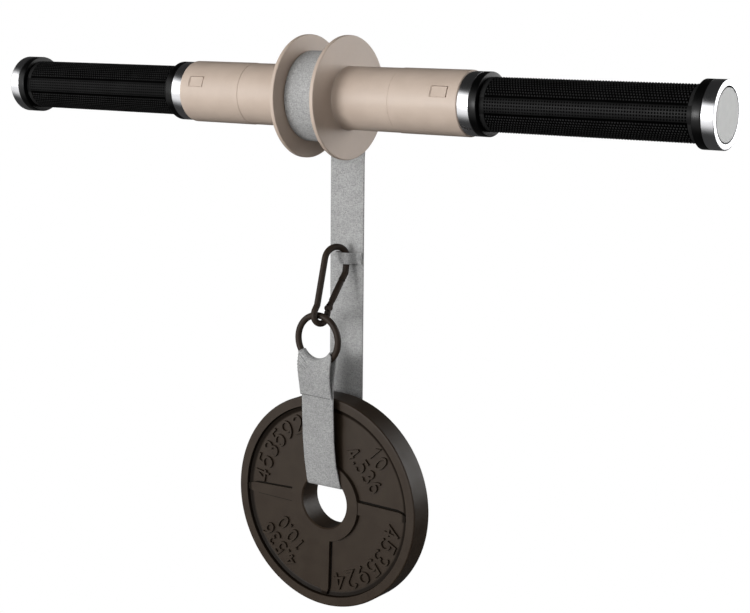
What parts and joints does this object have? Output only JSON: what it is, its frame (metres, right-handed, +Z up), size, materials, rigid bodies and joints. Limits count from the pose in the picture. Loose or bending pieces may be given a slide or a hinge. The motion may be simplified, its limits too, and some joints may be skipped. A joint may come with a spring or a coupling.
{
  "type": "wrist roller",
  "caption": "Wrist roller: a bar with textured grips and a flanged strap spool, with a weight plate slung in the strap by a snap hook and ring.",
  "frame": {"origin": "middle of the bar's axis, halfway between the two grips", "axes": "+X along the bar towards the right grip, +Y to the back where the strap leaves the spool, +Z up"},
  "size_m": [0.762, 0.111, 0.5346],
  "materials": {
    "tan_plastic": "satin moulded",
    "grip_rubber": "satin, moulded texture",
    "black_collar": "gloss",
    "chrome": "polished",
    "brushed_disc": "satin",
    "steel": "drawn",
    "plug_plastic": "moulded",
    "webbing": "woven webbing",
    "bronze": "satin dark bronze",
    "plate_iron": "satin enamel"
  },
  "bodies": {
    "strap_top": {"strap_upper_run": "webbing"},
    "roller": {"core_tube": "steel", "anchor_pin": "steel", "strap_winding": "webbing", "spool_right": "tan_plastic", "sleeve_right": "tan_plastic", "handle_tube_right": "steel", "bright_ring_right": "chrome", "inner_collar_right": "black_collar", "grip_right": "grip_rubber", "outer_collar_right": "black_collar", "end_cap_right": "chrome", "end_plug_right": "plug_plastic", "end_disc_right": "brushed_disc", "latch_spring_right": "steel", "spool_left": "tan_plastic", "sleeve_left": "tan_plastic", "handle_tube_left": "steel", "bright_ring_left": "chrome", "inner_collar_left": "black_collar", "grip_left": "grip_rubber", "outer_collar_left": "black_collar", "end_cap_left": "chrome", "end_plug_left": "plug_plastic", "end_disc_left": "brushed_disc", "latch_spring_left": "steel"},
    "load": {"strap_back_run": "webbing", "strap_bore_run": "webbing", "strap_front_run": "webbing", "webbing_band": "webbing", "hook_body": "bronze", "gate_pin": "bronze"},
    "gate": {"hook_gate": "bronze"},
    "ring": {"o_ring": "bronze"},
    "plate": {"weight_plate": "plate_iron"},
    "latch_left": {"button_left": "tan_plastic", "latch_lug_left": "steel"},
    "latch_right": {"button_right": "tan_plastic", "latch_lug_right": "steel"}
  },
  "joints": [
    {"name": "bar_roll", "type": "hinge", "parent": "strap_top", "child": "roller", "pos_m": [0, 0, 0], "axis": [1, 0, 0], "range_deg": [0, 105]},
    {"name": "load_lift", "type": "slide", "parent": "strap_top", "child": "load", "axis": [0, 0, 1], "range_m": [0, 0.075], "deforming": ["strap_upper_run"]},
    {"name": "plate_spin", "type": "hinge", "parent": "load", "child": "plate", "pos_m": [0, 0.0087, -0.3776], "axis": [0, 1, 0], "continuous": true},
    {"name": "ring_turn", "type": "hinge", "parent": "load", "child": "ring", "pos_m": [0, -0.014, -0.2204], "axis": [0, 1, 0], "continuous": true},
    {"name": "gate_swing", "type": "hinge", "parent": "load", "child": "gate", "pos_m": [0.00439, -0.00406, -0.19196], "axis": [0.9358, -0.3043, 0.1781], "range_deg": [0, 24], "stiffness_Nm_per_rad": 0.06, "springref_deg": -17.19},
    {"name": "button_left_press", "type": "slide", "parent": "roller", "child": "latch_left", "axis": [0, 0.9285, -0.3714], "range_m": [0, 0.0025], "stiffness_N_per_m": 800, "springref_m": -0.002},
    {"name": "button_right_press", "type": "slide", "parent": "roller", "child": "latch_right", "axis": [0, 0.9285, -0.3714], "range_m": [0, 0.0025], "stiffness_N_per_m": 800, "springref_m": -0.002}
  ],
  "couplings": [
    {"joint": "load_lift", "follows": "bar_roll", "m_per_rad": 0.0407}
  ]
}
